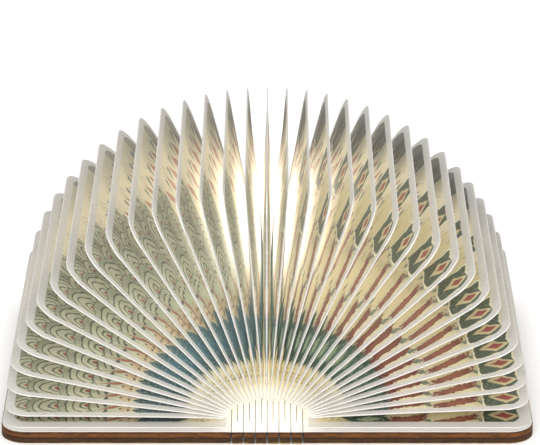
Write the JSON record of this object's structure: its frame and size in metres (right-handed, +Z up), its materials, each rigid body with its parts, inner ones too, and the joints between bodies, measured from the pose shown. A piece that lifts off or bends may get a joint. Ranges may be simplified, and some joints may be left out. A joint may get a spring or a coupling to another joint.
{
  "type": "folding book lamp",
  "caption": "Lamp shaped like a hardback book: two flat wooden covers open on a slit wooden spine, and a fan of paper leaves spreads over a light bar.",
  "frame": {"origin": "under the middle of the spine, on the surface that the open covers lie on", "axes": "+X across the open book, +Y along the spine towards its charging socket, +Z up"},
  "size_m": [0.179, 0.122, 0.0882],
  "materials": {
    "walnut_ply": "oiled walnut-faced ply, laser-cut dark edges",
    "lining_paper": "smooth white lining paper",
    "printed_paper": "water-resistant fibre paper, printed",
    "plated_magnet": "nickel-plated",
    "tray_plastic": "moulded, satin",
    "circuit_board": "green solder mask",
    "diffuser_plastic": "milky, translucent, lit",
    "cell_foil": "foil pouch",
    "socket_steel": "tinned shell",
    "switch_tube": "sealed glass tube"
  },
  "bodies": {
    "spine": {"spine_centre_strip": "walnut_ply", "light_bar_tray": "tray_plastic", "led_board": "circuit_board", "diffuser": "diffuser_plastic", "battery_cell": "cell_foil", "charge_board": "circuit_board", "charging_socket": "socket_steel", "magnet_switch": "switch_tube"},
    "right_strip_1": {"hinge_strip_right_1": "walnut_ply"},
    "right_strip_2": {"hinge_strip_right_2": "walnut_ply"},
    "right_strip_3": {"hinge_strip_right_3": "walnut_ply"},
    "right_strip_4": {"hinge_strip_right_4": "walnut_ply"},
    "right_strip_5": {"hinge_strip_right_5": "walnut_ply"},
    "right_cover": {"cover_right": "walnut_ply", "liner_right": "lining_paper", "end_sheet_right": "printed_paper", "magnet_right": "plated_magnet"},
    "left_strip_1": {"hinge_strip_left_1": "walnut_ply"},
    "left_strip_2": {"hinge_strip_left_2": "walnut_ply"},
    "left_strip_3": {"hinge_strip_left_3": "walnut_ply"},
    "left_strip_4": {"hinge_strip_left_4": "walnut_ply"},
    "left_strip_5": {"hinge_strip_left_5": "walnut_ply"},
    "left_cover": {"cover_left": "walnut_ply", "liner_left": "lining_paper", "end_sheet_left": "printed_paper", "magnet_left": "plated_magnet"},
    "leaf_01": {"leaf_01": "printed_paper"},
    "leaf_02": {"leaf_02": "printed_paper"},
    "leaf_03": {"leaf_03": "printed_paper"},
    "leaf_04": {"leaf_04": "printed_paper"},
    "leaf_05": {"leaf_05": "printed_paper"},
    "leaf_06": {"leaf_06": "printed_paper"},
    "leaf_07": {"leaf_07": "printed_paper"},
    "leaf_08": {"leaf_08": "printed_paper"},
    "leaf_09": {"leaf_09": "printed_paper"},
    "leaf_10": {"leaf_10": "printed_paper"},
    "leaf_11": {"leaf_11": "printed_paper"},
    "leaf_12": {"leaf_12": "printed_paper"},
    "leaf_13": {"leaf_13": "printed_paper"},
    "leaf_14": {"leaf_14": "printed_paper"},
    "leaf_15": {"leaf_15": "printed_paper"},
    "leaf_16": {"leaf_16": "printed_paper"},
    "leaf_17": {"leaf_17": "printed_paper"},
    "leaf_18": {"leaf_18": "printed_paper"},
    "leaf_19": {"leaf_19": "printed_paper"},
    "leaf_20": {"leaf_20": "printed_paper"},
    "leaf_21": {"leaf_21": "printed_paper"},
    "leaf_22": {"leaf_22": "printed_paper"},
    "leaf_23": {"leaf_23": "printed_paper"},
    "leaf_24": {"leaf_24": "printed_paper"},
    "leaf_25": {"leaf_25": "printed_paper"},
    "leaf_26": {"leaf_26": "printed_paper"},
    "leaf_27": {"leaf_27": "printed_paper"},
    "leaf_28": {"leaf_28": "printed_paper"},
    "leaf_29": {"leaf_29": "printed_paper"},
    "leaf_30": {"leaf_30": "printed_paper"},
    "leaf_31": {"leaf_31": "printed_paper"},
    "leaf_32": {"leaf_32": "printed_paper"},
    "leaf_33": {"leaf_33": "printed_paper"},
    "leaf_34": {"leaf_34": "printed_paper"}
  },
  "joints": [
    {"name": "right_strip_1_turn", "type": "hinge", "parent": "spine", "child": "right_strip_1", "pos_m": [0.003, 0, 0.002], "axis": [0, -1, 0], "range_deg": [-15.01, 15.01]},
    {"name": "right_strip_2_turn", "type": "hinge", "parent": "spine", "child": "right_strip_2", "pos_m": [0.003, 0, 0.002], "axis": [0, -1, 0], "range_deg": [-30.01, 30.01]},
    {"name": "right_strip_3_turn", "type": "hinge", "parent": "spine", "child": "right_strip_3", "pos_m": [0.00315, 0, 0.002], "axis": [0, -1, 0], "range_deg": [-45.01, 45.01]},
    {"name": "right_strip_4_turn", "type": "hinge", "parent": "right_strip_3", "child": "right_strip_4", "pos_m": [0.011, 0, 0.002], "axis": [0, -1, 0], "range_deg": [-15.01, 15.01]},
    {"name": "right_strip_5_turn", "type": "hinge", "parent": "right_strip_3", "child": "right_strip_5", "pos_m": [0.011, 0, 0.002], "axis": [0, -1, 0], "range_deg": [-30.01, 30.01]},
    {"name": "right_cover_turn", "type": "hinge", "parent": "right_strip_3", "child": "right_cover", "pos_m": [0.01085, 0, 0.002], "axis": [0, -1, 0], "range_deg": [-45.01, 45.01]},
    {"name": "left_strip_1_turn", "type": "hinge", "parent": "spine", "child": "left_strip_1", "pos_m": [-0.003, 0, 0.002], "axis": [0, 1, 0], "range_deg": [-15.01, 15.01]},
    {"name": "left_strip_2_turn", "type": "hinge", "parent": "spine", "child": "left_strip_2", "pos_m": [-0.003, 0, 0.002], "axis": [0, 1, 0], "range_deg": [-30.01, 30.01]},
    {"name": "left_strip_3_turn", "type": "hinge", "parent": "spine", "child": "left_strip_3", "pos_m": [-0.00315, 0, 0.002], "axis": [0, 1, 0], "range_deg": [-45.01, 45.01]},
    {"name": "left_strip_4_turn", "type": "hinge", "parent": "left_strip_3", "child": "left_strip_4", "pos_m": [-0.011, 0, 0.002], "axis": [0, 1, 0], "range_deg": [-15.01, 15.01]},
    {"name": "left_strip_5_turn", "type": "hinge", "parent": "left_strip_3", "child": "left_strip_5", "pos_m": [-0.011, 0, 0.002], "axis": [0, 1, 0], "range_deg": [-30.01, 30.01]},
    {"name": "left_cover_turn", "type": "hinge", "parent": "left_strip_3", "child": "left_cover", "pos_m": [-0.01085, 0, 0.002], "axis": [0, 1, 0], "range_deg": [-45.01, 45.01]},
    {"name": "leaf_01_turn", "type": "hinge", "parent": "spine", "child": "leaf_01", "pos_m": [-0.00825, 0, 0.005], "axis": [0, 1, 0], "range_deg": [-87.8, 87.8]},
    {"name": "leaf_02_turn", "type": "hinge", "parent": "spine", "child": "leaf_02", "pos_m": [-0.00775, 0, 0.005], "axis": [0, 1, 0], "range_deg": [-82.22, 82.22]},
    {"name": "leaf_03_turn", "type": "hinge", "parent": "spine", "child": "leaf_03", "pos_m": [-0.00725, 0, 0.005], "axis": [0, 1, 0], "range_deg": [-76.77, 76.77]},
    {"name": "leaf_04_turn", "type": "hinge", "parent": "spine", "child": "leaf_04", "pos_m": [-0.00675, 0, 0.005], "axis": [0, 1, 0], "range_deg": [-71.39, 71.39]},
    {"name": "leaf_05_turn", "type": "hinge", "parent": "spine", "child": "leaf_05", "pos_m": [-0.00625, 0, 0.005], "axis": [0, 1, 0], "range_deg": [-66, 66]},
    {"name": "leaf_06_turn", "type": "hinge", "parent": "spine", "child": "leaf_06", "pos_m": [-0.00575, 0, 0.005], "axis": [0, 1, 0], "range_deg": [-60.54, 60.54]},
    {"name": "leaf_07_turn", "type": "hinge", "parent": "spine", "child": "leaf_07", "pos_m": [-0.00525, 0, 0.005], "axis": [0, 1, 0], "range_deg": [-54.94, 54.94]},
    {"name": "leaf_08_turn", "type": "hinge", "parent": "spine", "child": "leaf_08", "pos_m": [-0.00475, 0, 0.005], "axis": [0, 1, 0], "range_deg": [-49.2, 49.2]},
    {"name": "leaf_09_turn", "type": "hinge", "parent": "spine", "child": "leaf_09", "pos_m": [-0.00425, 0, 0.005], "axis": [0, 1, 0], "range_deg": [-43.34, 43.34]},
    {"name": "leaf_10_turn", "type": "hinge", "parent": "spine", "child": "leaf_10", "pos_m": [-0.00375, 0, 0.005], "axis": [0, 1, 0], "range_deg": [-37.41, 37.41]},
    {"name": "leaf_11_turn", "type": "hinge", "parent": "spine", "child": "leaf_11", "pos_m": [-0.00325, 0, 0.005], "axis": [0, 1, 0], "range_deg": [-31.5, 31.5]},
    {"name": "leaf_12_turn", "type": "hinge", "parent": "spine", "child": "leaf_12", "pos_m": [-0.00275, 0, 0.005], "axis": [0, 1, 0], "range_deg": [-25.69, 25.69]},
    {"name": "leaf_13_turn", "type": "hinge", "parent": "spine", "child": "leaf_13", "pos_m": [-0.00225, 0, 0.005], "axis": [0, 1, 0], "range_deg": [-20.07, 20.07]},
    {"name": "leaf_14_turn", "type": "hinge", "parent": "spine", "child": "leaf_14", "pos_m": [-0.00175, 0, 0.005], "axis": [0, 1, 0], "range_deg": [-14.69, 14.69]},
    {"name": "leaf_15_turn", "type": "hinge", "parent": "spine", "child": "leaf_15", "pos_m": [-0.00125, 0, 0.005], "axis": [0, 1, 0], "range_deg": [-9.57, 9.57]},
    {"name": "leaf_16_turn", "type": "hinge", "parent": "spine", "child": "leaf_16", "pos_m": [-0.00075, 0, 0.005], "axis": [0, 1, 0], "range_deg": [-4.67, 4.67]},
    {"name": "leaf_17_turn", "type": "hinge", "parent": "spine", "child": "leaf_17", "pos_m": [-0.00025, 0, 0.005], "axis": [0, -1, 0], "range_deg": [-0.079, 0.079]},
    {"name": "leaf_18_turn", "type": "hinge", "parent": "spine", "child": "leaf_18", "pos_m": [0.00025, 0, 0.005], "axis": [0, -1, 0], "range_deg": [-4.74, 4.74]},
    {"name": "leaf_19_turn", "type": "hinge", "parent": "spine", "child": "leaf_19", "pos_m": [0.00075, 0, 0.005], "axis": [0, -1, 0], "range_deg": [-9.41, 9.41]},
    {"name": "leaf_20_turn", "type": "hinge", "parent": "spine", "child": "leaf_20", "pos_m": [0.00125, 0, 0.005], "axis": [0, -1, 0], "range_deg": [-14.21, 14.21]},
    {"name": "leaf_21_turn", "type": "hinge", "parent": "spine", "child": "leaf_21", "pos_m": [0.00175, 0, 0.005], "axis": [0, -1, 0], "range_deg": [-19.18, 19.18]},
    {"name": "leaf_22_turn", "type": "hinge", "parent": "spine", "child": "leaf_22", "pos_m": [0.00225, 0, 0.005], "axis": [0, -1, 0], "range_deg": [-24.36, 24.36]},
    {"name": "leaf_23_turn", "type": "hinge", "parent": "spine", "child": "leaf_23", "pos_m": [0.00275, 0, 0.005], "axis": [0, -1, 0], "range_deg": [-29.73, 29.73]},
    {"name": "leaf_24_turn", "type": "hinge", "parent": "spine", "child": "leaf_24", "pos_m": [0.00325, 0, 0.005], "axis": [0, -1, 0], "range_deg": [-35.24, 35.24]},
    {"name": "leaf_25_turn", "type": "hinge", "parent": "spine", "child": "leaf_25", "pos_m": [0.00375, 0, 0.005], "axis": [0, -1, 0], "range_deg": [-40.8, 40.8]},
    {"name": "leaf_26_turn", "type": "hinge", "parent": "spine", "child": "leaf_26", "pos_m": [0.00425, 0, 0.005], "axis": [0, -1, 0], "range_deg": [-46.34, 46.34]},
    {"name": "leaf_27_turn", "type": "hinge", "parent": "spine", "child": "leaf_27", "pos_m": [0.00475, 0, 0.005], "axis": [0, -1, 0], "range_deg": [-51.75, 51.75]},
    {"name": "leaf_28_turn", "type": "hinge", "parent": "spine", "child": "leaf_28", "pos_m": [0.00525, 0, 0.005], "axis": [0, -1, 0], "range_deg": [-56.99, 56.99]},
    {"name": "leaf_29_turn", "type": "hinge", "parent": "spine", "child": "leaf_29", "pos_m": [0.00575, 0, 0.005], "axis": [0, -1, 0], "range_deg": [-62.03, 62.03]},
    {"name": "leaf_30_turn", "type": "hinge", "parent": "spine", "child": "leaf_30", "pos_m": [0.00625, 0, 0.005], "axis": [0, -1, 0], "range_deg": [-66.9, 66.9]},
    {"name": "leaf_31_turn", "type": "hinge", "parent": "spine", "child": "leaf_31", "pos_m": [0.00675, 0, 0.005], "axis": [0, -1, 0], "range_deg": [-71.63, 71.63]},
    {"name": "leaf_32_turn", "type": "hinge", "parent": "spine", "child": "leaf_32", "pos_m": [0.00725, 0, 0.005], "axis": [0, -1, 0], "range_deg": [-76.31, 76.31]},
    {"name": "leaf_33_turn", "type": "hinge", "parent": "spine", "child": "leaf_33", "pos_m": [0.00775, 0, 0.005], "axis": [0, -1, 0], "range_deg": [-81.02, 81.02]},
    {"name": "leaf_34_turn", "type": "hinge", "parent": "spine", "child": "leaf_34", "pos_m": [0.00825, 0, 0.005], "axis": [0, -1, 0], "range_deg": [-85.81, 85.81]}
  ],
  "couplings": [
    {"joint": "right_strip_1_turn", "follows": "leaf_01_turn", "ratio": 0.17084},
    {"joint": "right_strip_2_turn", "follows": "leaf_01_turn", "ratio": 0.34169},
    {"joint": "right_strip_3_turn", "follows": "leaf_01_turn", "ratio": 0.51253},
    {"joint": "right_strip_4_turn", "follows": "leaf_01_turn", "ratio": 0.17084},
    {"joint": "right_strip_5_turn", "follows": "leaf_01_turn", "ratio": 0.34169},
    {"joint": "right_cover_turn", "follows": "leaf_01_turn", "ratio": 0.51253},
    {"joint": "left_strip_1_turn", "follows": "leaf_01_turn", "ratio": 0.17084},
    {"joint": "left_strip_2_turn", "follows": "leaf_01_turn", "ratio": 0.34169},
    {"joint": "left_strip_3_turn", "follows": "leaf_01_turn", "ratio": 0.51253},
    {"joint": "left_strip_4_turn", "follows": "leaf_01_turn", "ratio": 0.17084},
    {"joint": "left_strip_5_turn", "follows": "leaf_01_turn", "ratio": 0.34169},
    {"joint": "left_cover_turn", "follows": "leaf_01_turn", "ratio": 0.51253},
    {"joint": "leaf_02_turn", "follows": "leaf_01_turn", "ratio": 0.93633},
    {"joint": "leaf_03_turn", "follows": "leaf_01_turn", "ratio": 0.87421},
    {"joint": "leaf_04_turn", "follows": "leaf_01_turn", "ratio": 0.81293},
    {"joint": "leaf_05_turn", "follows": "leaf_01_turn", "ratio": 0.75159},
    {"joint": "leaf_06_turn", "follows": "leaf_01_turn", "ratio": 0.68936},
    {"joint": "leaf_07_turn", "follows": "leaf_01_turn", "ratio": 0.62566},
    {"joint": "leaf_08_turn", "follows": "leaf_01_turn", "ratio": 0.56028},
    {"joint": "leaf_09_turn", "follows": "leaf_01_turn", "ratio": 0.4935},
    {"joint": "leaf_10_turn", "follows": "leaf_01_turn", "ratio": 0.42596},
    {"joint": "leaf_11_turn", "follows": "leaf_01_turn", "ratio": 0.35861},
    {"joint": "leaf_12_turn", "follows": "leaf_01_turn", "ratio": 0.29248},
    {"joint": "leaf_13_turn", "follows": "leaf_01_turn", "ratio": 0.22847},
    {"joint": "leaf_14_turn", "follows": "leaf_01_turn", "ratio": 0.1672},
    {"joint": "leaf_15_turn", "follows": "leaf_01_turn", "ratio": 0.10884},
    {"joint": "leaf_16_turn", "follows": "leaf_01_turn", "ratio": 0.053088},
    {"joint": "leaf_17_turn", "follows": "leaf_01_turn", "ratio": 0.000787},
    {"joint": "leaf_18_turn", "follows": "leaf_01_turn", "ratio": 0.053812},
    {"joint": "leaf_19_turn", "follows": "leaf_01_turn", "ratio": 0.10712},
    {"joint": "leaf_20_turn", "follows": "leaf_01_turn", "ratio": 0.16173},
    {"joint": "leaf_21_turn", "follows": "leaf_01_turn", "ratio": 0.21838},
    {"joint": "leaf_22_turn", "follows": "leaf_01_turn", "ratio": 0.27738},
    {"joint": "leaf_23_turn", "follows": "leaf_01_turn", "ratio": 0.33854},
    {"joint": "leaf_24_turn", "follows": "leaf_01_turn", "ratio": 0.40126},
    {"joint": "leaf_25_turn", "follows": "leaf_01_turn", "ratio": 0.46463},
    {"joint": "leaf_26_turn", "follows": "leaf_01_turn", "ratio": 0.52761},
    {"joint": "leaf_27_turn", "follows": "leaf_01_turn", "ratio": 0.58928},
    {"joint": "leaf_28_turn", "follows": "leaf_01_turn", "ratio": 0.64896},
    {"joint": "leaf_29_turn", "follows": "leaf_01_turn", "ratio": 0.70641},
    {"joint": "leaf_30_turn", "follows": "leaf_01_turn", "ratio": 0.76181},
    {"joint": "leaf_31_turn", "follows": "leaf_01_turn", "ratio": 0.81576},
    {"joint": "leaf_32_turn", "follows": "leaf_01_turn", "ratio": 0.86907},
    {"joint": "leaf_33_turn", "follows": "leaf_01_turn", "ratio": 0.92265},
    {"joint": "leaf_34_turn", "follows": "leaf_01_turn", "ratio": 0.97722}
  ]
}
